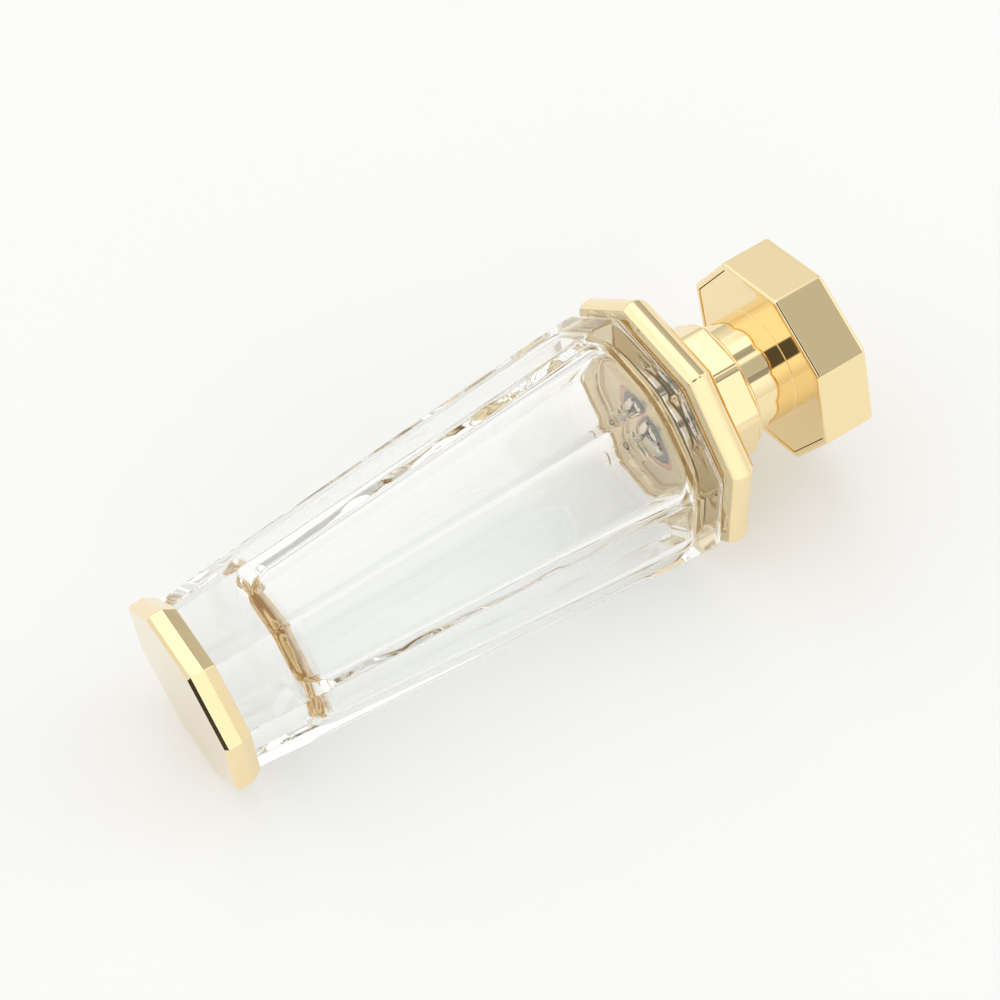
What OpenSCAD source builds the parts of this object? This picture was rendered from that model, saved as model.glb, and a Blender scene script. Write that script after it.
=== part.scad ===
// Octagonal perfume bottle with a crimped spray pump and a knob cap.
// It stands upright: +Z runs up the bottle's axis, and the origin is the centre
// of the foot's flat underside. All sizes are in millimetres.

/* [Foot plate] */
// Width of the foot across its flats
foot_w = 31.7; // [30:0.1:34]
// Height of the foot's upright wall
foot_wall_h = 2.9; // [2.5:0.1:3.5]
// Whole height of the foot
foot_h = 4.9; // [4.4:0.1:5.5]
// Width across the flats at the top of the foot's chamfer
foot_top_w = 29.4; // [29.2:0.1:29.8]
// Thickness of the metal under the glass
foot_floor = 1.5; // [1:0.1:2]

/* [Glass bottle] */
// Width of the glass across its flats where it leaves the foot
glass_low_w = 28.8; // [28.4:0.1:28.9]
// Width of the glass across its flats at the shoulder
glass_high_w = 43; // [41:0.1:43.2]
// Height of the shoulder's flat face
shoulder_z = 91.1; // [88:0.1:92]
// Radius of the shoulder's rounded edge
shoulder_r = 2.4; // [2:0.1:5]
// Height of the chamber's floor, over the solid glass base
chamber_floor_z = 15.8; // [12:0.1:20]
// Thickness of the glass wall
glass_wall = 4; // [3:0.1:5]
// Rounding of the chamber's floor edge
chamber_low_r = 5; // [2:0.1:6]
// Rounding of the chamber's shoulder
chamber_high_r = 5; // [4:0.1:8]
// Diameter of the neck's bead
bead_d = 15; // [14.9:0.05:15.1]
// Diameter of the hole through the neck
neck_bore_d = 9.4; // [9.2:0.1:9.6]
// Height of the neck's top face
neck_top_z = 102.2; // [102:0.1:102.4]

/* [Shoulder plate and neck ring] */
// Width of the shoulder plate across its flats, where it bulges most
plate_w = 44.8; // [44:0.1:46]
// Thickness of the shoulder plate
plate_t = 5.2; // [4:0.1:5.4]
// Rounding of the shoulder plate's bulging edge
plate_r = 3.2; // [3:0.1:4.8]
// Width of the neck ring across its flats
ring_w = 23.6; // [22:0.1:25]
// Height of the neck ring's top face
ring_top_z = 104.9; // [104.5:0.1:105]
// Diameter of the round seat on top of the neck ring
seat_d = 23.6; // [22:0.1:24]
// Thickness of the round seat
seat_t = 0.6; // [0.4:0.1:0.8]

/* [Pump] */
// Diameter of the pump's gold collar
collar_d = 17.4; // [17.2:0.1:17.6]
// Height of the collar's top
collar_top_z = 111.4; // [111:0.1:111.6]
// Outside diameter of the crimped ferrule
ferrule_d = 16; // [15.9:0.05:16.1]
// Diameter of the actuator
actuator_d = 13.2; // [12:0.1:13.6]
// Height of the actuator's lower edge
actuator_low_z = 110.9; // [110.8:0.1:111]
// Height of the actuator's top
actuator_top_z = 120.2; // [119:0.1:120.4]
// Height of the spray hole
nozzle_z = 116.2; // [115.8:0.1:117]
// Diameter of the pump's stem
stem_d = 4; // [3.8:0.1:4.2]
// Diameter of the pump cylinder's bore
cylinder_d = 6.6; // [6.4:0.1:6.8]
// Diameter of the valve ball
ball_d = 2.2; // [2:0.1:2.4]
// Outside diameter of the dip tube
dip_d = 2.5; // [2.2:0.1:2.8]
// How far the dip tube bends away from the axis
dip_bend = 6; // [4:0.5:7]
// Wire diameter of the return spring
wire_d = 0.5; // [0.4:0.05:0.6]
// Turns of the return spring
spring_turns = 6.5; // [5.5:0.5:7.5]

/* [Cap] */
// Width of the knob across its flats
knob_w = 35.2; // [34:0.1:36]
// Height of the knob's underside
knob_low_z = 113.7; // [113.5:0.1:114]
// Height of the knob's top
knob_top_z = 123.8; // [123.6:0.1:125]
// Turn of the round-bored cap about the axis
knob_turn = -16; // [-22:1:22]
// Width of the knob's small chamfers
knob_chamfer = 0.4; // [0.2:0.05:0.8]
// Thickness of the knob's wall
knob_wall = 1.15; // [1:0.05:1.5]
// Diameter of the cap's round skirt
skirt_d = 19.9; // [19.7:0.1:20.2]

/* [Hidden] */
$fn = 96;

gold = [0.93, 0.78, 0.52];
rose_gold = [0.93, 0.76, 0.62];
clear = [0.85, 0.92, 0.92, 0.35];
white_plastic = [0.93, 0.93, 0.91];
soft_clear = [0.92, 0.94, 0.94, 0.6];
silver = [0.78, 0.79, 0.8];
zinc = [0.6, 0.61, 0.62];

flats = 8;
flat_angle = 360 / flats;
arc_steps = 8;
gap = 0.1;          // assembly gap between neighbouring pieces
cut = 1;            // how far a cutting tool runs past a face
pad_t = 0.3;        // thickness of the two adhesive pads

// Foot
foot_pad_z = foot_floor;
glass_low_z = foot_floor + pad_t;
glass_edge = 0.8;   // chamfer of the glass heel inside the foot
heel_step = 0.2;    // how far the heel steps in on each side
glass_in_foot_w = glass_low_w - 2 * heel_step;
foot_edge = 0.6;    // edge break round the foot's underside

// Glass
taper = (glass_high_w - glass_low_w) / 2 / (shoulder_z - shoulder_r - foot_h);
bead_step = 1.1;    // how far the bead stands out from the neck
bead_h = 3.4;
neck_low_d = bead_d - 2 * bead_step;
bead_low_z = neck_top_z - bead_h;
glass_roof = 1.8;   // thickness of the glass over the chamber
chamber_top_z = shoulder_z - glass_roof;

// Plate and ring
plate_low_z = shoulder_z + pad_t;
plate_top_z = plate_low_z + plate_t;
plate_bore_d = bead_d + 4 * gap;
ring_bore_d = collar_d + 4 * gap;

// Pump
gasket_t = 0.8;
flange_z = neck_top_z + gasket_t;
flange_d = bead_d - 6 * gap;
flange_t = 1;
closure_t = 1;
closure_z = flange_z + flange_t;
ferrule_wall = 0.4;
ferrule_top_z = closure_z + closure_t + ferrule_wall;
ferrule_lip = 1;    // height of the lip turned in under the bead
ferrule_low_z = bead_low_z - ferrule_lip;
collar_wall = 0.6;
collar_lip_d = actuator_d + 10 * gap;
housing_d = neck_bore_d - 8 * gap;
housing_low_z = 86.2;
housing_floor = 3;  // thickness of the cylinder's floor, which holds the valve
cylinder_floor_z = housing_low_z + housing_floor;
barb_h = 5.5;       // length of the dip tube's socket
barb_wall = 0.8;
barb_low_z = housing_low_z - barb_h;
barb_d = dip_d + 2 * barb_wall;
valve_d = ball_d + 0.5;
inlet_d = 1.4;
valve_floor_z = housing_low_z + 0.5;    // seat of the valve ball
ball_z = valve_floor_z + ball_d / 2;
dip_in = 4.2;       // how far the dip tube goes into its socket
dip_top_z = barb_low_z + dip_in;
dip_wall = 0.4;
dip_bend_z = barb_low_z - 1;
dip_bend_h = 24;    // height over which the dip tube bends
dip_clear = 1.6;    // clearance under the dip tube
dip_low_z = chamber_floor_z + dip_clear;
stem_foot_z = 97;
stem_foot_d = cylinder_d - 1;
stem_foot_t = 0.9;
stem_in = 3.2;      // how far the stem goes into the actuator
stem_top_z = actuator_low_z + stem_in;
stem_bore_d = 1.4;
running = 0.06;     // radial clearance of a running fit
piston_z = stem_foot_z + stem_foot_t;
piston_t = 2.6;
closure_skirt_z = piston_z + piston_t + 3 * gap;    // just above the resting piston
spring_low_z = cylinder_floor_z;
spring_d = stem_foot_d - 2 * gap;
sleeve_wall = 0.35;
nozzle_d = 3.4;
nozzle_l = 2.1;     // length of the nozzle insert
spray_hole_d = 0.5;

// Cap
cap_low_z = ring_top_z + seat_t;
skirt_wall = 0.45;
skirt_bore_d = skirt_d - 2 * skirt_wall;
insert_inset = 0.15;    // how far the underside plate sits inside the knob
insert_plate_z = knob_low_z + insert_inset;
insert_plate_t = 1.1;
knob_bore_w = knob_w - 2 * knob_wall;
knob_roof = 1.3;    // thickness of the knob's top
knob_roof_z = knob_top_z - knob_roof;
roof_gap = 0.6;     // free height under the knob's top
insert_top_z = knob_roof_z - roof_gap;
liner_roof_gap = 0.9;   // free height over the resting actuator
liner_roof_z = actuator_top_z + liner_roof_gap;
liner_step_z = collar_top_z + 4 * gap;

// ---------------------------------------------------------------- helpers

// Points along a quarter round from angle a0 to a1, centred on c, as [half width, z]
function arc(c, r, a0, a1) =
    [for (i = [0:arc_steps]) let (a = a0 + (a1 - a0) * i / arc_steps)
        [c[0] + r * cos(a), c[1] + r * sin(a)]];

// A solid with eight equal sides whose half width follows a profile of
// [half width, z] points that run from the bottom to the top.
module eight_sided(profile) {
    low = profile[0][1];
    high = profile[len(profile) - 1][1];
    corners = [for (p = profile) [p[0] / cos(flat_angle / 2), p[1]]];
    rotate([0, 0, flat_angle / 2])
        rotate_extrude($fn = flats) polygon(concat([[0, low]], corners, [[0, high]]));
}

// A straight tube or ring
module tube(d, bore, z0, z1) {
    translate([0, 0, z0]) difference() {
        cylinder(d = d, h = z1 - z0);
        translate([0, 0, -cut]) cylinder(d = bore, h = z1 - z0 + 2 * cut);
    }
}

module rod(d, z0, z1) {
    translate([0, 0, z0]) cylinder(d = d, h = z1 - z0);
}

// Half width of the glass outside at height z
function glass_half(z) = glass_low_w / 2 + taper * (z - foot_h);

// ---------------------------------------------------------------- body

// Gold foot: an eight-sided tray that the heel of the glass is glued into
module foot_plate() {
    half = foot_w / 2;
    pocket = glass_in_foot_w / 2 + gap;
    color(rose_gold) difference() {
        eight_sided([[half - foot_edge, 0], [half, foot_edge], [half, foot_wall_h],
            [foot_top_w / 2, foot_h]]);
        eight_sided([[pocket, foot_floor], [pocket, foot_h + cut]]);
    }
}

// Adhesive pad between the foot and the glass
module foot_pad() {
    half = glass_in_foot_w / 2 - glass_edge - gap;
    color(soft_clear)
        eight_sided([[half, foot_pad_z], [half, foot_pad_z + pad_t]]);
}

// Inside of the glass: an eight-sided chamber with rounded edges, and the neck hole
module chamber() {
    low = glass_half(chamber_floor_z) - glass_wall;
    high = glass_half(chamber_top_z) - glass_wall;
    lean = atan(taper);
    eight_sided(concat(
        arc([low - chamber_low_r, chamber_floor_z + chamber_low_r], chamber_low_r,
            -90, -lean),
        arc([high - chamber_high_r, chamber_top_z - chamber_high_r], chamber_high_r,
            -lean, 90)));
    rod(neck_bore_d, chamber_top_z - cut, neck_top_z + cut);
}

module glass_bottle() {
    heel = glass_in_foot_w / 2;
    high = glass_half(shoulder_z - shoulder_r);
    lean = atan(taper);
    color(clear) difference() {
        union() {
            eight_sided(concat(
                [[heel - glass_edge, glass_low_z], [heel, glass_low_z + glass_edge],
                    [heel, foot_h], [glass_low_w / 2, foot_h + gap]],
                arc([high - shoulder_r, shoulder_z - shoulder_r], shoulder_r, -lean, 90)));
            rod(neck_low_d, shoulder_z - cut, bead_low_z + cut);
            rod(bead_d, bead_low_z, neck_top_z);
        }
        chamber();
    }
}

// Thin adhesive ring that holds the shoulder plate down
module shoulder_pad() {
    half = glass_high_w / 2 - shoulder_r - gap;
    color(soft_clear) difference() {
        eight_sided([[half, shoulder_z], [half, shoulder_z + pad_t]]);
        rod(plate_bore_d, shoulder_z - cut, shoulder_z + pad_t + cut);
    }
}

// Gold shoulder plate: its edge bulges out from the lower face and rolls over to the
// upper face as one arc
module shoulder_plate() {
    first = -asin((plate_t - plate_r) / plate_r);
    color(gold) difference() {
        eight_sided(arc([plate_w / 2 - plate_r, plate_top_z - plate_r], plate_r, first, 90));
        rod(plate_bore_d, plate_low_z - cut, plate_top_z + cut);
    }
}

module neck_ring() {
    color(gold) difference() {
        eight_sided([[ring_w / 2, plate_top_z], [ring_w / 2, ring_top_z]]);
        rod(ring_bore_d, plate_top_z - cut, ring_top_z + cut);
    }
}

// Thin round seat that the cap's skirt stands on
module cap_seat() {
    color(gold) tube(seat_d, ring_bore_d, ring_top_z, cap_low_z);
}

// ---------------------------------------------------------------- pump, fixed

// Gold sleeve over the crimp, with a lip that hides the pump
module pump_collar() {
    color(gold) {
        tube(collar_d, collar_d - 2 * collar_wall, plate_top_z, collar_top_z);
        tube(collar_d - collar_wall, collar_lip_d, collar_top_z - collar_wall, collar_top_z);
    }
}

// Gold aluminium ferrule, crimped under the neck's bead
module crimp_ferrule() {
    inside = ferrule_d - 2 * ferrule_wall;
    color(gold) difference() {
        rod(ferrule_d, ferrule_low_z, ferrule_top_z);
        rod(inside, bead_low_z, ferrule_top_z - ferrule_wall);
        rod(neck_low_d + 2 * gap, ferrule_low_z - cut, bead_low_z + cut);
        rod(2 * stem_d, ferrule_top_z - cut, ferrule_top_z + cut);
    }
}

module neck_gasket() {
    color(white_plastic) tube(flange_d, neck_bore_d - gap, neck_top_z, flange_z);
}

// Cylinder of the pump, with its flange above, valve seat and dip-tube socket below
module pump_housing() {
    color(soft_clear) difference() {
        union() {
            rod(flange_d, flange_z, closure_z);
            rod(housing_d, housing_low_z, flange_z + gap);
            rod(barb_d, barb_low_z, housing_low_z + gap);
        }
        rod(cylinder_d, cylinder_floor_z, closure_z + cut);
        rod(valve_d, valve_floor_z, cylinder_floor_z + gap);
        rod(inlet_d, dip_top_z - gap, housing_low_z + cut);
        rod(dip_d, barb_low_z - cut, dip_top_z);
    }
}

// Snap-in closure that keeps the piston in the cylinder and guides the stem
module pump_closure() {
    color(white_plastic) difference() {
        union() {
            rod(flange_d, closure_z, closure_z + closure_t);
            rod(cylinder_d - gap, closure_skirt_z, closure_z + gap);
        }
        rod(stem_d + 2 * running, closure_skirt_z - cut, closure_z + closure_t + cut);
    }
}

module valve_ball() {
    color(silver) translate([0, 0, ball_z]) sphere(d = ball_d);
}

// Distance of the dip tube from the axis at height z: an S-bend below the pump
function dip_x(z) =
    let (t = min(1, max(0, (dip_bend_z - z) / dip_bend_h)))
        -dip_bend * t * t * (3 - 2 * t);

// Clear tube from the pump to the chamber's floor
module dip_tube() {
    sides = 24;
    bends = 12;
    heights = concat([dip_top_z],
        [for (i = [0:bends]) dip_bend_z - dip_bend_h * i / bends], [dip_low_z]);
    radii = [dip_d / 2, dip_d / 2 - dip_wall];
    count = len(heights);
    wall = count * sides;
    points = [for (r = radii) for (z = heights) for (j = [0:sides - 1])
        [dip_x(z) + r * cos(360 * j / sides), r * sin(360 * j / sides), z]];
    outside = [for (i = [0:count - 2]) for (j = [0:sides - 1])
        let (k = (j + 1) % sides, a = i * sides, b = a + sides) [a + j, a + k, b + k, b + j]];
    inside = [for (i = [0:count - 2]) for (j = [0:sides - 1])
        let (k = (j + 1) % sides, a = wall + i * sides, b = a + sides)
        [a + k, a + j, b + j, b + k]];
    ends = [for (a = [0, wall - sides]) for (j = [0:sides - 1])
        let (k = (j + 1) % sides, b = a + wall, top = a == 0)
        top ? [a + k, a + j, b + j, b + k] : [a + j, a + k, b + k, b + j]];
    color(soft_clear) polyhedron(points, concat(outside, inside, ends));
}

// Coil spring between the cylinder's floor and the foot of the stem
module return_spring() {
    around = 20;
    sides = 8;
    steps = spring_turns * around;
    height = stem_foot_z - spring_low_z - wire_d;
    centre_r = (spring_d - wire_d) / 2;
    points = [for (i = [0:steps]) for (j = [0:sides - 1])
        let (turn = 360 * i / around, tilt = 360 * j / sides,
            r = centre_r + wire_d / 2 * cos(tilt))
        [r * cos(turn), r * sin(turn),
            spring_low_z + wire_d / 2 + height * i / steps + wire_d / 2 * sin(tilt)]];
    walls = [for (i = [0:steps - 1]) for (j = [0:sides - 1])
        let (k = (j + 1) % sides)
        [i * sides + j, (i + 1) * sides + j, (i + 1) * sides + k, i * sides + k]];
    first = [for (j = [0:sides - 1]) j];
    last = [for (j = [0:sides - 1]) steps * sides + sides - 1 - j];
    color(silver) polyhedron(points, concat(walls, [first, last]));
}

// ---------------------------------------------------------------- pump, moving

module pump_piston() {
    color(white_plastic)
        tube(cylinder_d - 2 * running, stem_d, piston_z, piston_z + piston_t);
}

// Hollow stem with a foot that the spring pushes on
module pump_stem() {
    color(white_plastic) difference() {
        union() {
            rod(stem_d, stem_foot_z, stem_top_z);
            rod(stem_foot_d, stem_foot_z, stem_foot_z + stem_foot_t);
        }
        rod(stem_bore_d, stem_foot_z + stem_foot_t, stem_top_z + cut);
        translate([0, 0, stem_foot_z + stem_foot_t + 1]) rotate([0, 90, 0])
            cylinder(d = 1, h = stem_d, center = true);
    }
}

// Plastic core of the actuator: a socket on the stem and a channel to the nozzle
module actuator_core() {
    core_d = actuator_d - 2 * sleeve_wall - gap;
    core_top_z = actuator_top_z - sleeve_wall - gap;
    color(white_plastic) difference() {
        rod(core_d, actuator_low_z, core_top_z);
        rod(stem_d, actuator_low_z - cut, stem_top_z + gap);
        rod(stem_bore_d, stem_top_z, nozzle_z + stem_bore_d / 2);
        translate([0, 0, nozzle_z]) rotate([90, 0, 0])
            cylinder(d = stem_bore_d, h = core_d);
        translate([0, -core_d / 2 + nozzle_l - gap, nozzle_z]) rotate([90, 0, 0])
            cylinder(d = nozzle_d, h = core_d);
    }
}

// Gold cap pressed over the core, with a round window for the nozzle
module actuator_sleeve() {
    edge = 0.5;
    inside = actuator_d - 2 * sleeve_wall;
    color(gold) difference() {
        union() {
            rod(actuator_d, actuator_low_z, actuator_top_z - edge);
            translate([0, 0, actuator_top_z - edge])
                cylinder(d1 = actuator_d, d2 = actuator_d - 2 * edge, h = edge);
        }
        rod(inside, actuator_low_z - cut, actuator_top_z - sleeve_wall - gap / 2);
        translate([0, 0, nozzle_z]) rotate([90, 0, 0])
            cylinder(d = nozzle_d + 2 * gap, h = actuator_d);
    }
}

// Swirl insert with the spray hole
module spray_nozzle() {
    back = actuator_d / 2 - nozzle_l - 2 * gap;
    color(white_plastic) translate([0, -back, nozzle_z]) rotate([90, 0, 0])
        difference() {
            cylinder(d = nozzle_d - gap, h = nozzle_l);
            translate([0, 0, -cut]) cylinder(d = spray_hole_d, h = nozzle_l + 2 * cut);
        }
}

// ---------------------------------------------------------------- cap

// Gold knob, open below
module cap_shell() {
    half = knob_w / 2;
    color(gold) rotate([0, 0, knob_turn]) difference() {
        eight_sided([[half - knob_chamfer, knob_low_z], [half, knob_low_z + knob_chamfer],
            [half, knob_top_z - knob_chamfer], [half - knob_chamfer, knob_top_z]]);
        eight_sided([[knob_bore_w / 2, knob_low_z - cut], [knob_bore_w / 2, knob_roof_z]]);
    }
}

// Gold insert: a round skirt and the flat plate that closes the knob's underside
module cap_insert() {
    half = knob_bore_w / 2 - gap;
    color(gold) difference() {
        union() {
            rod(skirt_d, cap_low_z, insert_top_z);
            rotate([0, 0, knob_turn]) eight_sided([[half, insert_plate_z],
                [half, insert_plate_z + insert_plate_t]]);
        }
        rod(skirt_bore_d, cap_low_z - cut, insert_top_z + cut);
    }
}

// Plastic liner inside the skirt: its lower bore slides over the pump's collar
module cap_liner() {
    liner_d = skirt_bore_d - gap;
    color(white_plastic) difference() {
        rod(liner_d, cap_low_z + gap, insert_top_z);
        rod(collar_d + 2 * running, cap_low_z - cut, liner_step_z);
        rod(actuator_d + 2, cap_low_z, liner_roof_z);
    }
}

// Zinc weight around the skirt, inside the knob
module cap_weight() {
    half = knob_bore_w / 2 - 0.4;
    low_z = insert_plate_z + insert_plate_t;
    color(zinc) difference() {
        rotate([0, 0, knob_turn]) eight_sided([[half, low_z], [half, insert_top_z]]);
        rod(skirt_d + 2 * gap, low_z - cut, insert_top_z + cut);
    }
}

foot_plate();
foot_pad();
glass_bottle();
shoulder_pad();
shoulder_plate();
neck_ring();
cap_seat();
pump_collar();
crimp_ferrule();
neck_gasket();
pump_housing();
pump_closure();
valve_ball();
dip_tube();
return_spring();
pump_piston();
pump_stem();
actuator_core();
actuator_sleeve();
spray_nozzle();
cap_shell();
cap_insert();
cap_liner();
cap_weight();
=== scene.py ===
"""Looks for the octagonal perfume bottle. It stands upright in the frame, and the table
that its side leans on is a plane at its +Y side. Lengths are in millimetres, and MM turns
them into metres where they reach Blender."""
import math

import bpy
from mathutils import Matrix, Vector


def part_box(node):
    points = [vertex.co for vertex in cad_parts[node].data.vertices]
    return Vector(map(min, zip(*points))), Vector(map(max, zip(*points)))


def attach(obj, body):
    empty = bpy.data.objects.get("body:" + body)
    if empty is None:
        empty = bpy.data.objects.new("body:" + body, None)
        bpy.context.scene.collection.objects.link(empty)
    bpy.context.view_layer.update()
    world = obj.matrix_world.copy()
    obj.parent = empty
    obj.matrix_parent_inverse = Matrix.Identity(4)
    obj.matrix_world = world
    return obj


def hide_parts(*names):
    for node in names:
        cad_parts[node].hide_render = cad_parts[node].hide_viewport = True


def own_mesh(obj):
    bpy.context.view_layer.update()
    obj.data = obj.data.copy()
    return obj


MM = 0.001

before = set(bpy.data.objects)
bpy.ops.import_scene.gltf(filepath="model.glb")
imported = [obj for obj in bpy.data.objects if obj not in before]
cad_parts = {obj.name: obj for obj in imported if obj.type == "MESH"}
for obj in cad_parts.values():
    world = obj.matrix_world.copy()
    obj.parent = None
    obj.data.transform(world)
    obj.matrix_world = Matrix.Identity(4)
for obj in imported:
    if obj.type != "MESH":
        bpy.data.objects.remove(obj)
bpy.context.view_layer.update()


# ------------------------------------------------------------------ sizes from the frame

def half_of(node):
    """The node's half width across its flats, or its radius."""
    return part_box(node)[1][0] / MM


def low_of(node):
    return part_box(node)[0][2] / MM


def top_of(node):
    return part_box(node)[1][2] / MM


# ------------------------------------------------------------------ mesh builder

# Round and eight-sided rings have the same number of points, so one can follow the other.
FLAT_STEPS = 14      # points along each of the eight flats
CORNER_STEPS = 6     # points round each of the eight corners
SIDE_STEPS = FLAT_STEPS + CORNER_STEPS
RING = 8 * SIDE_STEPS
EIGHTH = math.pi / 4
INNERMOST = 0.5      # a profile starts or ends here where a cap fills it up to the axis
STRAIGHT = 1e-4      # a smaller bend in a profile gets no fillet


def turned(v, angle):
    return Vector((v.x * math.cos(angle) - v.y * math.sin(angle),
                   v.x * math.sin(angle) + v.y * math.cos(angle)))


def rounded(points, steps=6):
    """Fillets a profile. points are (half width, z, radius); the profile runs so that
    the surface's outside is on its right when z grows upwards. Gives (half width, z, out,
    rise), where out and rise are the normal's parts away from the axis and along it."""
    profile = []
    for i, (half, z, radius) in enumerate(points):
        before = points[i - 1] if i else None
        after = points[i + 1] if i + 1 < len(points) else None
        here = Vector((half, z))
        into = (here - Vector(before[:2])).normalized() if before else None
        away = (Vector(after[:2]) - here).normalized() if after else None
        if into is None or away is None:
            way = away if into is None else into
            profile.append((half, z, way.y, -way.x))
            continue
        bend = math.atan2(into.x * away.y - into.y * away.x, into.dot(away))
        if abs(bend) < STRAIGHT:
            profile.append((half, z, into.y, -into.x))
            continue
        back = abs(math.tan(bend / 2)) * radius
        start = here - into * back
        side = Vector((-into.y, into.x)) * (1 if bend > 0 else -1)
        centre = start + side * radius
        spoke = start - centre
        for k in range(steps + 1):
            angle = bend * k / steps
            p = centre + turned(spoke, angle)
            way = turned(into, angle)
            profile.append((p.x, p.y, way.y, -way.x))
    return profile


def divided(profile, step):
    """Adds rings to the long straight parts of a profile."""
    longer = [profile[0]]
    for a, b in zip(profile, profile[1:]):
        length = math.hypot(b[0] - a[0], b[1] - a[1])
        parts = max(1, math.ceil(length / step))
        for k in range(1, parts):
            share = k / parts
            longer.append(tuple(a[j] + (b[j] - a[j]) * share for j in range(4)))
        longer.append(b)
    return longer


def octagon_ring(half, z, out, rise, corner):
    """Points and normals round one eight-sided section with rounded corners."""
    corner = min(corner, half * 0.9)
    reach = (half - corner) / math.cos(EIGHTH / 2)      # from the axis to a corner's centre
    flat = reach * math.sin(EIGHTH / 2)                 # half the length of a flat
    ring = []
    for side in range(8):
        middle = EIGHTH * side
        c = math.cos(middle)
        s = math.sin(middle)
        for k in range(FLAT_STEPS):
            along_flat = -flat + 2 * flat * k / FLAT_STEPS
            ring.append(((half * c - along_flat * s, half * s + along_flat * c, z),
                         (out * c, out * s, rise)))
        way = middle + EIGHTH / 2
        for k in range(CORNER_STEPS):
            off = -EIGHTH / 2 + EIGHTH * k / CORNER_STEPS
            angle = way + off
            p = (reach * math.cos(way) + corner * math.cos(angle),
                 reach * math.sin(way) + corner * math.sin(angle), z)
            lean_up = rise * math.cos(off) / math.cos(EIGHTH / 2)
            n = Vector((out * math.cos(angle), out * math.sin(angle), lean_up)).normalized()
            ring.append((p, tuple(n)))
    return ring


def round_ring(radius, z, out, rise):
    """Points and normals round one circular section, evenly spread."""
    ring = []
    for side in range(8):
        first = EIGHTH * side - EIGHTH / 2
        for k in range(SIDE_STEPS):
            share = k / SIDE_STEPS
            angle = first + EIGHTH * share
            ring.append(((radius * math.cos(angle), radius * math.sin(angle), z),
                         (out * math.cos(angle), out * math.sin(angle), rise)))
    return ring


def eight(profile, corner):
    """Eight-sided rings; corner is the corners' radius, or a function of z for it."""
    return [octagon_ring(half, z, out, rise, corner(z) if callable(corner) else corner)
            for half, z, out, rise in profile]


def lathe(profile):
    """Round rings; the profile's half widths are radii."""
    return [round_ring(radius, z, out, rise) for radius, z, out, rise in profile]


def shown(name, mesh, material):
    """Puts a mesh into the scene."""
    obj = bpy.data.objects.new(name, mesh)
    bpy.context.scene.collection.objects.link(obj)
    mesh.materials.append(material)
    return obj


def mesh_piece(name, rings, material, close="caps", ripple=None, turn=0.0):
    """One closed mesh from a row of rings. close is "caps" for a solid whose first and
    last rings are filled, or "loop" for a tube whose last ring meets its first. ripple
    moves each point and normal, and turn is an angle round the axis."""
    verts, normals, faces, loop_normals = [], [], [], []
    spin = Matrix.Rotation(turn, 3, "Z")
    for ring in rings:
        for p, n in ring:
            p, n = Vector(p), Vector(n)
            if ripple:
                p, n = ripple(p, n)
            verts.append(spin @ p * MM)
            normals.append(spin @ n)
    rows = len(rings)
    last = rows if close == "loop" else rows - 1
    for i in range(last):
        a, b = i * RING, ((i + 1) % rows) * RING
        for j in range(RING):
            k = (j + 1) % RING
            faces.append((a + j, a + k, b + k, b + j))
    for face in faces:
        loop_normals.extend(normals[v] for v in face)
    if close == "caps":
        for first, down in ((0, True), ((rows - 1) * RING, False)):
            fan = [first + j for j in range(RING)]
            if down:
                fan.reverse()
            middle = sum((verts[v] for v in fan), Vector()) / RING
            verts.append(middle)
            centre = len(verts) - 1
            n = sum((normals[v] for v in fan), Vector()).normalized()
            for j in range(RING):
                faces.append((centre, fan[j], fan[(j + 1) % RING]))
                loop_normals.extend((n, n, n))
    mesh = bpy.data.meshes.new(name)
    mesh.from_pydata([tuple(v) for v in verts], [], faces)
    mesh.validate()
    mesh.update()
    for polygon in mesh.polygons:
        polygon.use_smooth = True
    mesh.normals_split_custom_set([tuple(n) for n in loop_normals])
    return shown(name, mesh, material)


# ------------------------------------------------------------------ materials

NOISE_LOW = 0.35                # a noise texture seldom leaves this range
NOISE_HIGH = 0.65
BUMP_DEPTH = 0.0002             # metres
LOOKS_ALONG = 0.9               # least part of a normal along the axis that facing() paints


def principled(name, color, **values):
    material = bpy.data.materials.new(name)
    material.use_nodes = True
    shader = material.node_tree.nodes["Principled BSDF"]
    shader.inputs["Base Color"].default_value = (*color, 1)
    for key, value in values.items():
        shader.inputs[key.replace("_", " ")].default_value = value
    return material


def metal(name, color):
    return principled(name, color, Metallic=1.0)


def uneven(material, scale, low, high, bump=0.0, bump_scale=None):
    """Roughness that varies a little over the surface, and an optional faint bump."""
    nodes, links = material.node_tree.nodes, material.node_tree.links
    shader = nodes["Principled BSDF"]
    where = nodes.new("ShaderNodeTexCoord")
    noise = nodes.new("ShaderNodeTexNoise")
    noise.inputs["Scale"].default_value = scale
    noise.inputs["Detail"].default_value = 3
    links.new(where.outputs["Object"], noise.inputs["Vector"])
    spread = nodes.new("ShaderNodeMapRange")
    spread.inputs["From Min"].default_value = NOISE_LOW
    spread.inputs["From Max"].default_value = NOISE_HIGH
    spread.inputs["To Min"].default_value = low
    spread.inputs["To Max"].default_value = high
    links.new(noise.outputs["Fac"], spread.inputs["Value"])
    links.new(spread.outputs["Result"], shader.inputs["Roughness"])
    if bump:
        wave = nodes.new("ShaderNodeTexNoise")
        wave.inputs["Scale"].default_value = bump_scale
        wave.inputs["Detail"].default_value = 2
        links.new(where.outputs["Object"], wave.inputs["Vector"])
        lift = nodes.new("ShaderNodeBump")
        lift.inputs["Strength"].default_value = bump
        lift.inputs["Distance"].default_value = BUMP_DEPTH
        links.new(wave.outputs["Fac"], lift.inputs["Height"])
        links.new(lift.outputs["Normal"], shader.inputs["Normal"])
    return material


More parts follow.
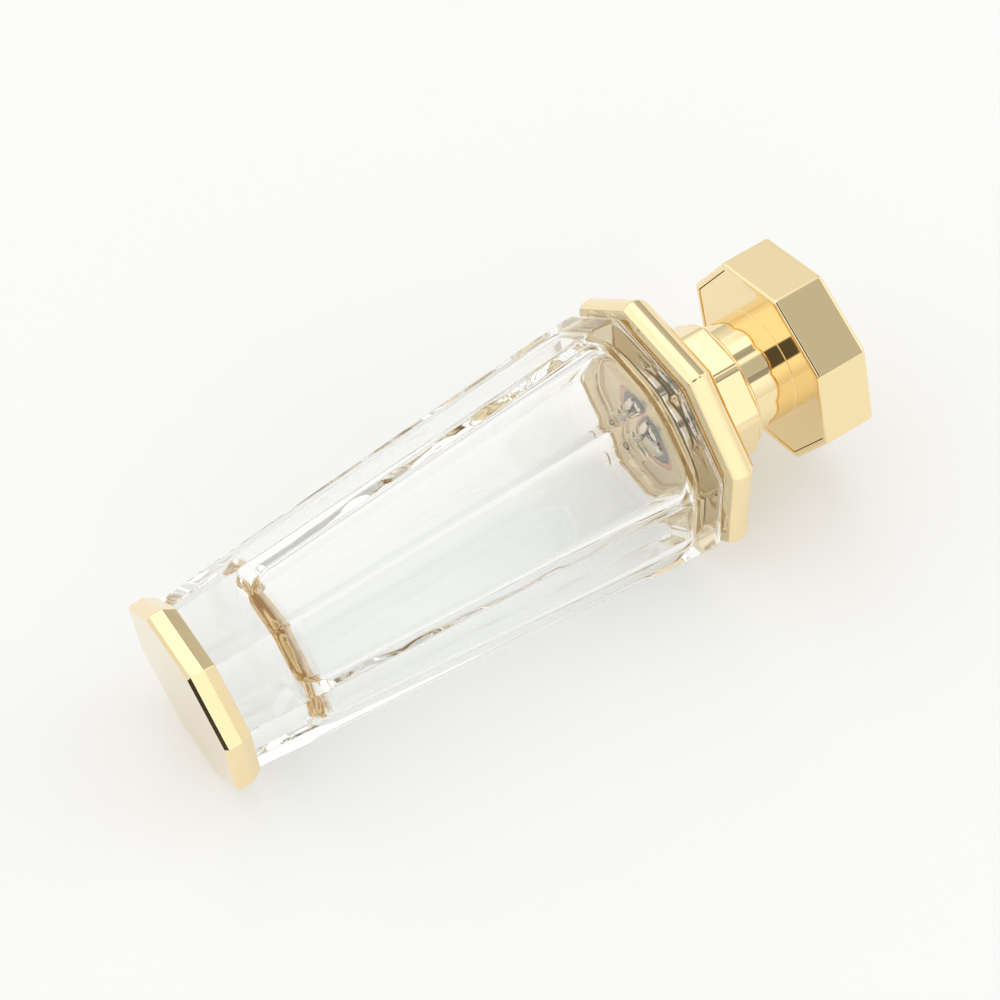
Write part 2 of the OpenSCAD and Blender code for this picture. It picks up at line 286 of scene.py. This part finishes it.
def see_through(name, ior, shade, tint=(1, 1, 1)):
    """Clear glass or plastic. Its shadow is left light, as light that it bends and
    scatters fills a real glass's shadow. shade is the colour that light in the shadow
    keeps, and tint is the colour that light bent by the material keeps."""
    material = principled(name, tint, Roughness=0.0, IOR=ior, Transmission_Weight=1.0)
    nodes, links = material.node_tree.nodes, material.node_tree.links
    path = nodes.new("ShaderNodeLightPath")
    either = nodes.new("ShaderNodeMath")
    either.operation = "MAXIMUM"
    links.new(path.outputs["Is Shadow Ray"], either.inputs[0])
    links.new(path.outputs["Is Diffuse Ray"], either.inputs[1])
    clear = nodes.new("ShaderNodeBsdfTransparent")
    clear.inputs["Color"].default_value = (*shade, 1)
    mix = nodes.new("ShaderNodeMixShader")
    links.new(either.outputs[0], mix.inputs[0])
    links.new(nodes["Principled BSDF"].outputs[0], mix.inputs[1])
    links.new(clear.outputs[0], mix.inputs[2])
    links.new(mix.outputs[0], nodes["Material Output"].inputs["Surface"])
    return material


def facing(material, way, color):
    """Another colour on the faces that look up (way 1) or down (way -1) the axis."""
    nodes, links = material.node_tree.nodes, material.node_tree.links
    target = nodes["Principled BSDF"].inputs["Base Color"]
    before = target.links[0].from_socket if target.links else None
    where = nodes.new("ShaderNodeTexCoord")
    axes = nodes.new("ShaderNodeSeparateXYZ")
    there = nodes.new("ShaderNodeMath")
    there.operation = "GREATER_THAN" if way > 0 else "LESS_THAN"
    there.inputs[1].default_value = LOOKS_ALONG * way
    pick = nodes.new("ShaderNodeMix")
    pick.data_type = "RGBA"
    pick.inputs["A"].default_value = target.default_value
    pick.inputs["B"].default_value = (*color, 1)
    if before:
        links.new(before, pick.inputs["A"])
    links.new(where.outputs["Normal"], axes.inputs[0])
    links.new(axes.outputs["Z"], there.inputs[0])
    links.new(there.outputs[0], pick.inputs["Factor"])
    links.new(pick.outputs["Result"], target)


GOLD = (0.96, 0.785, 0.465)
FOOT_UNDERSIDE_REFLECTION = (0.90, 0.77, 0.56)               # painted reflection: the foot's underside is paler, like the lit table it faces
FOOT_TOP_SHADE = (0.76, 0.55, 0.26)            # painted shade: faces that are glued to the glass are darker
# painted shade: the shoulder plate's underside, which is glued to the glass, is darker
PLATE_UNDERSIDE_SHADE = (0.69, 0.555, 0.325)
PLATING = {"scale": 120, "low": 0.03, "high": 0.07, "bump": 0.05, "bump_scale": 180}

gold = uneven(metal("gold_plating", GOLD), **PLATING)
rose_gold = uneven(metal("rose_gold_plating", GOLD), scale=120, low=0.05, high=0.10,
                   bump=0.06, bump_scale=220)
# Painted reflection: a paler colour on the faces under the foot.
facing(rose_gold, -1, FOOT_UNDERSIDE_REFLECTION)
# Painted shade: a darker colour on the foot's faces that look up the axis.
facing(rose_gold, 1, FOOT_TOP_SHADE)
shade_painted_gold = uneven(metal("shade_painted_gold_plating", GOLD), **PLATING)
# Painted shade: a darker colour on the faces under the shoulder plate.
facing(shade_painted_gold, -1, PLATE_UNDERSIDE_SHADE)
gold_anodised = uneven(metal("gold_anodised", GOLD), scale=200, low=0.10, high=0.16)
glass = see_through("clear_glass", ior=1.52, shade=(0.94, 0.95, 0.95),
                    tint=(0.988, 0.993, 0.991))
# The tube and the natural plastic bend light far less here than real plastic does, so that
# the parts inside the glass hardly show.
tube_clear = see_through("clear_tube", ior=1.015, shade=(0.98, 0.98, 0.98))
natural = see_through("natural_plastic", ior=1.03, shade=(0.94, 0.94, 0.93))
white = uneven(principled("white_plastic", (0.86, 0.86, 0.84), IOR=1.49),
               scale=300, low=0.28, high=0.40)
steel = uneven(metal("spring_steel", (0.50, 0.47, 0.43)), scale=500, low=0.24, high=0.34)
rubber = uneven(principled("gasket_rubber", (0.78, 0.78, 0.75)), scale=300, low=0.55, high=0.70)
adhesive = see_through("clear_adhesive", ior=1.50, shade=(0.96, 0.96, 0.96))
zinc = uneven(metal("zinc_casting", (0.50, 0.51, 0.52)), scale=300, low=0.35, high=0.50)


# ------------------------------------------------------------------ gold foot

# Clear glue joins the glass and the metal with no air between them. So each metal piece is
# drawn a hair past the glass's face, and the glue lies inside the metal.
FOOT_LAP = 0.01
PLATE_LAP = 0.02

FOOT = half_of("foot_plate")
FOOT_EDGE = 0.6                 # edge break round the underside
FOOT_WALL_Z = 2.9               # the upright wall's top, where the slope to the glass starts
FOOT_TOP = 14.7                 # half width at the slope's top
FOOT_TOP_Z = top_of("foot_plate")
POCKET = 14.3                   # half width of the pocket that the glass stands in
POCKET_Z = low_of("glass_bottle") + FOOT_LAP

foot = mesh_piece("foot", eight(rounded([
    (INNERMOST, 0, 0), (FOOT - FOOT_EDGE, 0, 0.1), (FOOT, FOOT_EDGE, 0.1),
    (FOOT, FOOT_WALL_Z, 0.35), (FOOT_TOP, FOOT_TOP_Z, 0.12),
    (POCKET, FOOT_TOP_Z, 0.12), (POCKET, POCKET_Z, 0.2), (INNERMOST, POCKET_Z, 0)]), 0.35),
    rose_gold)
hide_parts("foot_plate")
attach(foot, "bottle")

# ------------------------------------------------------------------ glass

HEEL = 14.2                     # half width inside the foot
HEEL_Z = 1.8
GLASS_LOW = 14.4                # half width at the foot's top
GLASS_HIGH = half_of("glass_bottle")
SHOULDER_Z = 91.1
SHOULDER_R = 2.4
EDGE_Z = SHOULDER_Z - SHOULDER_R        # the taper is widest here
TAPER = (GLASS_HIGH - GLASS_LOW) / (EDGE_Z - FOOT_TOP_Z)
WALL = 4.0
CHAMBER_LOW_Z = 15.8
CHAMBER_LOW_R = 5.5
CHAMBER_TOP_Z = 89.3
CHAMBER_TOP_R = 5
NECK = 6.4                      # radii of the neck, its bead and its bore
BEAD = 7.5
BORE = 4.7
BEAD_Z = 98.8
NECK_TOP_Z = top_of("glass_bottle")
RIPPLE = 0.009                  # height of the largest wave in the chamber's walls


def glass_half(z):
    return GLASS_LOW + TAPER * (z - FOOT_TOP_Z)


def widening(z, start, over, least, more):
    """A corner radius that is least up to the height start and grows by more after it."""
    share = min(1, max(0, (z - start) / over))
    return least + more * share * share


def outer_corner(z):
    """The glass's outer corners are sharp below and softer at the shoulder."""
    return widening(z, start=70, over=18, least=0.6, more=1.6)


def inner_corner(z):
    """The chamber's corners are rounder towards its shoulder."""
    return widening(z, start=55, over=32, least=3.2, more=5.5)


outside = eight(divided(rounded([
    (INNERMOST, HEEL_Z, 0), (HEEL, HEEL_Z, 0.7), (HEEL, FOOT_TOP_Z - 0.2, 0.05),
    (GLASS_LOW, FOOT_TOP_Z + 0.1, 0.2), (glass_half(SHOULDER_Z), SHOULDER_Z, SHOULDER_R),
    (NECK + 2.2, SHOULDER_Z, 0)], steps=10), step=2), outer_corner)
neck = lathe(rounded([
    (NECK + 1.5, SHOULDER_Z, 0), (NECK, SHOULDER_Z, 0.5), (NECK, BEAD_Z, 0.3),
    (BEAD, BEAD_Z, 0.5), (BEAD, NECK_TOP_Z, 0.5), (BORE, NECK_TOP_Z, 0.4),
    (BORE, CHAMBER_TOP_Z, 0.4), (BORE + 0.6, CHAMBER_TOP_Z, 0)]))
inside = eight(divided(rounded([
    (BORE + 1.2, CHAMBER_TOP_Z, 0),
    (glass_half(CHAMBER_TOP_Z) - WALL, CHAMBER_TOP_Z, CHAMBER_TOP_R),
    (glass_half(CHAMBER_LOW_Z) - WALL, CHAMBER_LOW_Z, CHAMBER_LOW_R),
    (INNERMOST, CHAMBER_LOW_Z, 0)], steps=14), step=3), inner_corner)


def glass_ripple(p, n):
    """Faint waves that the mould leaves in the chamber's walls; the outside has none."""
    r = max(abs(p.x), abs(p.y))
    if not (CHAMBER_LOW_Z - 0.5 < p.z < CHAMBER_TOP_Z + 0.5 and r < glass_half(p.z) - 2):
        return p, n

    def lift(q):
        return RIPPLE * (math.sin(0.33 * q.z + 0.50 * q.x - 0.3 * q.y)
                         + 0.6 * math.sin(0.71 * q.z - 0.62 * q.y + 0.45 * q.x + 1.3)
                         + 0.4 * math.sin(1.15 * q.x + 0.9 * q.y + 0.5 * q.z + 0.4))

    near = 0.01
    here = lift(p)
    slope = Vector([(lift(p + Vector([near if j == i else 0 for j in range(3)])) - here) / near
                    for i in range(3)])
    slope -= n * slope.dot(n)
    return p + n * here, (n - slope).normalized()


bottle_glass = mesh_piece("glass", outside + neck + inside, glass, ripple=glass_ripple)
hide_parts("glass_bottle")
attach(bottle_glass, "bottle")

# ------------------------------------------------------------------ glue

PLATE_BORE = 7.7                # radius of the hole in the shoulder plate and its glue


def glue(name, node, bore):
    """A clear pad the size of its node, with a round hole of radius bore or with none."""
    half, low, high = half_of(node), low_of(node), top_of(node)
    if bore:
        rings = (eight(rounded([(bore + 2, low, 0), (half, low, 0.05), (half, high, 0.05),
                                (bore + 2, high, 0)]), 0.5)
                 + lathe(rounded([(bore + 1, high, 0), (bore, high, 0.05), (bore, low, 0.05),
                                  (bore + 1, low, 0)])))
    else:
        rings = eight(rounded([(INNERMOST, low, 0), (half, low, 0.05), (half, high, 0.05),
                               (INNERMOST, high, 0)]), 0.5)
    pad = mesh_piece(name, rings, adhesive, close="loop" if bore else "caps")
    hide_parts(node)
    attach(pad, "bottle")


glue("foot_glue", "foot_pad", None)
glue("shoulder_glue", "shoulder_pad", PLATE_BORE)

# ------------------------------------------------------------------ shoulder plate, ring, seat

PLATE = half_of("shoulder_plate")
PLATE_Z = low_of("shoulder_plate")
PLATE_TOP_Z = top_of("shoulder_plate")
PLATE_R = 3.2                   # radius of the arc that is the plate's edge
ROLL_LOW = -36                  # the arc's lower end, in degrees from its widest point
ROLL_STEPS = 20
BOSS = half_of("shoulder_pad") + PLATE_LAP      # the plate's middle, drawn down to the glass
BOSS_Z = SHOULDER_Z - PLATE_LAP
RING_HALF = 11.8
RING_TOP_Z = top_of("neck_ring")
RING_BORE = 8.9
SEAT_TOP_Z = top_of("cap_seat")

roll = []
for k in range(ROLL_STEPS + 1):
    angle = math.radians(ROLL_LOW + (90 - ROLL_LOW) * k / ROLL_STEPS)
    roll.append((PLATE - PLATE_R + PLATE_R * math.cos(angle),
                 PLATE_TOP_Z - PLATE_R + PLATE_R * math.sin(angle),
                 math.cos(angle), math.sin(angle)))
# The last point of this profile is left out, as it is the first one of the roll.
underneath = rounded([
    (PLATE_BORE + 3, BOSS_Z, 0), (BOSS, BOSS_Z, 0.1), (BOSS, PLATE_Z, 0.1),
    (roll[0][0], PLATE_Z, 0.12), roll[0][:2] + (0,)])[:-1]
plate_hole = rounded([
    (PLATE_BORE + 1, PLATE_TOP_Z, 0), (PLATE_BORE, PLATE_TOP_Z, 0.2),
    (PLATE_BORE, BOSS_Z, 0.2), (PLATE_BORE + 1, BOSS_Z, 0)])
plate = mesh_piece(
    "shoulder_collar",
    eight(underneath + roll + [(PLATE_BORE + 3, PLATE_TOP_Z, 0, 1)], 0.7) + lathe(plate_hole),
    shade_painted_gold, close="loop")

ring = mesh_piece(
    "neck_collar",
    eight(rounded([(RING_BORE + 1.5, PLATE_TOP_Z, 0), (RING_HALF, PLATE_TOP_Z, 0.12),
                   (RING_HALF, RING_TOP_Z, 0.3), (RING_BORE + 1.5, RING_TOP_Z, 0)]), 2.6)
    + lathe(rounded([(RING_BORE + 1, RING_TOP_Z, 0), (RING_BORE, RING_TOP_Z, 0.2),
                     (RING_BORE, PLATE_TOP_Z, 0.2), (RING_BORE + 1, PLATE_TOP_Z, 0)])),
    gold, close="loop")

seat = mesh_piece(
    "cap_rest",
    lathe(rounded([(RING_BORE + 1, RING_TOP_Z, 0), (RING_HALF, RING_TOP_Z, 0.28),
                   (RING_HALF, SEAT_TOP_Z, 0.28), (RING_BORE, SEAT_TOP_Z, 0.15),
                   (RING_BORE, RING_TOP_Z, 0.15), (RING_BORE + 0.5, RING_TOP_Z, 0)])),
    gold, close="loop")

for piece, node in ((plate, "shoulder_plate"), (ring, "neck_ring"), (seat, "cap_seat")):
    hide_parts(node)
    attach(piece, "bottle")

# ------------------------------------------------------------------ cap

KNOB_TURN = math.radians(-16)   # the knob's flats against the bottle's
KNOB = 17.6
KNOB_Z = low_of("cap_shell")
KNOB_TOP_Z = top_of("cap_shell")
KNOB_HOLLOW = 16.45             # half width of the hollow under the knob's roof
KNOB_ROOF_Z = 122.5
SKIRT = 9.95                    # radii of the skirt and its bore
SKIRT_BORE = 9.5
SKIRT_Z = low_of("cap_insert")
SKIRT_TOP_Z = top_of("cap_insert")
INSERT = 16.35                  # half width of the plate that closes the knob from below
INSERT_Z = 113.85
INSERT_TOP_Z = INSERT_Z + 1.1

knob = mesh_piece(
    "knob",
    eight(rounded([(INNERMOST, KNOB_ROOF_Z, 0), (KNOB_HOLLOW, KNOB_ROOF_Z, 0.3),
                   (KNOB_HOLLOW, KNOB_Z, 0.12), (KNOB, KNOB_Z, 0.7), (KNOB, KNOB_TOP_Z, 0.9),
                   (INNERMOST, KNOB_TOP_Z, 0)]), 0.7),
    gold, turn=KNOB_TURN)

insert = mesh_piece(
    "cap_skirt",
    lathe(rounded([(SKIRT_BORE, SKIRT_Z + 1, 0), (SKIRT_BORE, SKIRT_Z, 0.12),
                   (SKIRT, SKIRT_Z, 0.15), (SKIRT, INSERT_Z, 0.15), (SKIRT + 1, INSERT_Z, 0)]))
    + eight(rounded([(SKIRT + 2, INSERT_Z, 0), (INSERT, INSERT_Z, 0.2),
                     (INSERT, INSERT_TOP_Z, 0.2), (SKIRT + 2, INSERT_TOP_Z, 0)]), 0.3)
    + lathe(rounded([(SKIRT + 1, INSERT_TOP_Z, 0), (SKIRT, INSERT_TOP_Z, 0.15),
                     (SKIRT, SKIRT_TOP_Z, 0.15), (SKIRT_BORE, SKIRT_TOP_Z, 0.15),
                     (SKIRT_BORE, SKIRT_Z + 2, 0)])),
    gold, close="loop", turn=KNOB_TURN)

for piece, node in ((knob, "cap_shell"), (insert, "cap_insert")):
    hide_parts(node)
    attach(piece, "cap")

# ------------------------------------------------------------------ return spring

SPRING_Z = low_of("return_spring")
SPRING_TOP_Z = top_of("return_spring")
WIRE_R = 0.25
COIL_R = 2.45                   # from the axis to the middle of the wire
COIL_TURNS = 6.5
AROUND = 28                     # steps in one turn of the coil
SIDES = 12                      # points round the wire


def coil():
    """The spring's wire, wound round the axis as a helix."""
    points, faces = [], []
    steps = round(COIL_TURNS * AROUND)
    climb = (SPRING_TOP_Z - SPRING_Z - 2 * WIRE_R) / steps
    for i in range(steps + 1):
        angle = math.tau * i / AROUND
        for j in range(SIDES):
            tilt = math.tau * j / SIDES
            r = COIL_R + WIRE_R * math.cos(tilt)
            points.append((r * math.cos(angle) * MM, r * math.sin(angle) * MM,
                           (SPRING_Z + WIRE_R + climb * i + WIRE_R * math.sin(tilt)) * MM))
    for i in range(steps):
        a, b = i * SIDES, (i + 1) * SIDES
        for j in range(SIDES):
            k = (j + 1) % SIDES
            faces.append((a + j, b + j, b + k, a + k))
    faces.append(tuple(range(SIDES)))
    faces.append(tuple(steps * SIDES + SIDES - 1 - j for j in range(SIDES)))
    mesh = bpy.data.meshes.new("coil_spring")
    mesh.from_pydata(points, [], faces)
    mesh.update()
    for polygon in mesh.polygons:
        polygon.use_smooth = len(polygon.vertices) == 4
    return mesh


spring = shown("coil_spring", coil(), steel)
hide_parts("return_spring")
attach(spring, "bottle")
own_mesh(spring)

# ------------------------------------------------------------------ pieces with the frame's meshes

for node, material in (
        ("pump_collar", gold_anodised), ("crimp_ferrule", gold_anodised),
        ("neck_gasket", rubber), ("pump_housing", natural), ("pump_closure", white),
        ("valve_ball", steel), ("dip_tube", tube_clear), ("pump_piston", natural),
        ("pump_stem", white), ("actuator_core", white), ("actuator_sleeve", gold_anodised),
        ("spray_nozzle", white), ("cap_liner", natural), ("cap_weight", zinc)):
    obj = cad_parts[node]
    obj.data.materials.clear()
    obj.data.materials.append(material)

# ------------------------------------------------------------------ table

# The table passes a hair outside the foot's lower edge and the shoulder plate's bulge.
TABLE_GAP = 0.01
TOUCH_Z = FOOT_EDGE / 2         # halfway up the edge break under the foot
TABLE_SLOPE = (PLATE - FOOT) / (PLATE_TOP_Z - PLATE_R - TOUCH_Z)
TABLE_SIZE = 4000
TABLE_END = 95                  # the table stops this far past the foot

lean = math.atan(TABLE_SLOPE)
up = Vector((0, -math.cos(lean), math.sin(lean)))       # away from the table
along = Vector((0, math.sin(lean), math.cos(lean)))
across = along.cross(up)
touch = Vector((0, FOOT + TABLE_GAP, TOUCH_Z))


def table_paper():
    """Matt white paper that glows a little, clear from behind."""
    material = principled("table_paper", (0.74, 0.74, 0.735), Roughness=0.9,
                          Emission_Color=(1, 1, 0.99, 1), Emission_Strength=0.24,
                          Specular_IOR_Level=0.0)
    nodes, links = material.node_tree.nodes, material.node_tree.links
    side = nodes.new("ShaderNodeNewGeometry")
    clear = nodes.new("ShaderNodeBsdfTransparent")
    mix = nodes.new("ShaderNodeMixShader")
    links.new(side.outputs["Backfacing"], mix.inputs[0])
    links.new(nodes["Principled BSDF"].outputs[0], mix.inputs[1])
    links.new(clear.outputs[0], mix.inputs[2])
    links.new(mix.outputs[0], nodes["Material Output"].inputs["Surface"])
    return material


corners = [touch + across * a + along * b
           for a, b in ((-TABLE_SIZE, -TABLE_END), (TABLE_SIZE, -TABLE_END),
                        (TABLE_SIZE, TABLE_SIZE), (-TABLE_SIZE, TABLE_SIZE))]
mesh = bpy.data.meshes.new("table")
mesh.from_pydata([tuple(c * MM) for c in corners], [], [(0, 1, 2, 3)])
mesh.update()
if mesh.polygons[0].normal.dot(up) < 0:
    mesh.flip_normals()
table = shown("table", mesh, table_paper())

# ------------------------------------------------------------------ world and lights

WORLD = 1.15                    # strength of the whole surroundings
SEEN = 0.95                     # how bright they are where the camera looks past the bottle
GLASS_FLOOR = 0.5               # and the least that light through glass brings

scene = bpy.context.scene
world = bpy.data.worlds.new("studio")
scene.world = world
world.use_nodes = True
nodes, links = world.node_tree.nodes, world.node_tree.links
sky = nodes["Background"]
where = nodes.new("ShaderNodeTexCoord")


def toward(direction):
    """The cosine between the looked-at direction and this one."""
    dot = nodes.new("ShaderNodeVectorMath")
    dot.operation = "DOT_PRODUCT"
    dot.inputs[1].default_value = tuple(Vector(direction).normalized())
    links.new(where.outputs["Generated"], dot.inputs[0])
    return dot.outputs["Value"]


def between(value, low, high, at_low, at_high):
    """Goes smoothly from at_low to at_high as value goes from low to high."""
    step = nodes.new("ShaderNodeMapRange")
    step.interpolation_type = "SMOOTHSTEP"
    for key, number in (("From Min", low), ("From Max", high), ("To Min", at_low),
                        ("To Max", at_high)):
        step.inputs[key].default_value = number
    links.new(value, step.inputs["Value"])
    return step.outputs["Result"]


def zone(direction, inner, outer, factor):
    """factor within inner degrees of the direction, and 1 from outer degrees on."""
    return between(toward(direction), math.cos(math.radians(outer)),
                   math.cos(math.radians(inner)), 1.0, factor)


def combined(operation, a, b):
    """A Math node. a is a socket, and b is a socket or a number."""
    node = nodes.new("ShaderNodeMath")
    node.operation = operation
    links.new(a, node.inputs[0])
    if isinstance(b, float):
        node.inputs[1].default_value = b
    else:
        links.new(b, node.inputs[1])
    return node.outputs[0]


# The room is a little dimmer level with the table and below it.
light = between(toward(up), low=0.0, high=0.5, at_low=0.75, at_high=1.03)
for spot in (zone((0.45, -0.79, 0.42), 10, 17, 0.48),       # dim ceiling over the camera
             zone((-0.05, -0.92, 0.38), 5, 9, 0.34),        # beams beside it
             zone((0.71, -0.60, 0.39), 4, 7, 0.30),
             zone((0.53, -0.80, -0.28), 17, 21, 0.08),      # the camera itself
             zone((0.37, -0.02, -0.93), 18, 28, 0.06),      # the dark room past the table
             zone((-0.48, -0.57, 0.67), 15, 22, 0.42),      # the dim far side
             zone((-0.92, -0.24, 0.29), 15, 32, 0.75),      # and the dim left
             zone((-0.49, -0.82, 0.28), 14, 30, 1.20)):     # the window
    light = combined("MULTIPLY", light, spot)
path = nodes.new("ShaderNodeLightPath")
# Light that comes through glass is mixed from many directions, so it is never dark.
through = combined("MINIMUM", path.outputs["Transmission Depth"], GLASS_FLOOR)
light = combined("MAXIMUM", light, through)
pick = nodes.new("ShaderNodeMix")
pick.data_type = "FLOAT"
links.new(path.outputs["Is Camera Ray"], pick.inputs["Factor"])
links.new(light, pick.inputs["A"])
pick.inputs["B"].default_value = SEEN
links.new(combined("MULTIPLY", pick.outputs["Result"], WORLD), sky.inputs["Strength"])
sky.inputs["Color"].default_value = (1.0, 1.0, 0.985, 1)

# ------------------------------------------------------------------ camera

# The camera's place, and the directions to its right, its top and what it looks at.
EYE = Vector((184.19, -326.85, -45.84))
RIGHT = Vector((0.55345, 0.04168, 0.83184))
UPWARD = Vector((-0.68319, -0.54854, 0.48204))
AHEAD = Vector((-0.47639, 0.83509, 0.27511))

camera = bpy.data.cameras.new("camera")
camera.lens = 85.13
camera.sensor_width = 36
camera.clip_start = 0.01
camera.clip_end = 20
eye = bpy.data.objects.new("camera", camera)
scene.collection.objects.link(eye)
eye.matrix_world = Matrix(((RIGHT.x, UPWARD.x, -AHEAD.x, EYE.x * MM),
                           (RIGHT.y, UPWARD.y, -AHEAD.y, EYE.y * MM),
                           (RIGHT.z, UPWARD.z, -AHEAD.z, EYE.z * MM),
                           (0, 0, 0, 1)))
scene.camera = eye
scene.view_settings.view_transform = "Standard"
scene.view_settings.look = "None"
scene.cycles.caustics_refractive = True
scene.cycles.caustics_reflective = True
scene.cycles.max_bounces = 36
scene.cycles.transmission_bounces = 30
scene.cycles.glossy_bounces = 30
scene.cycles.transparent_max_bounces = 16
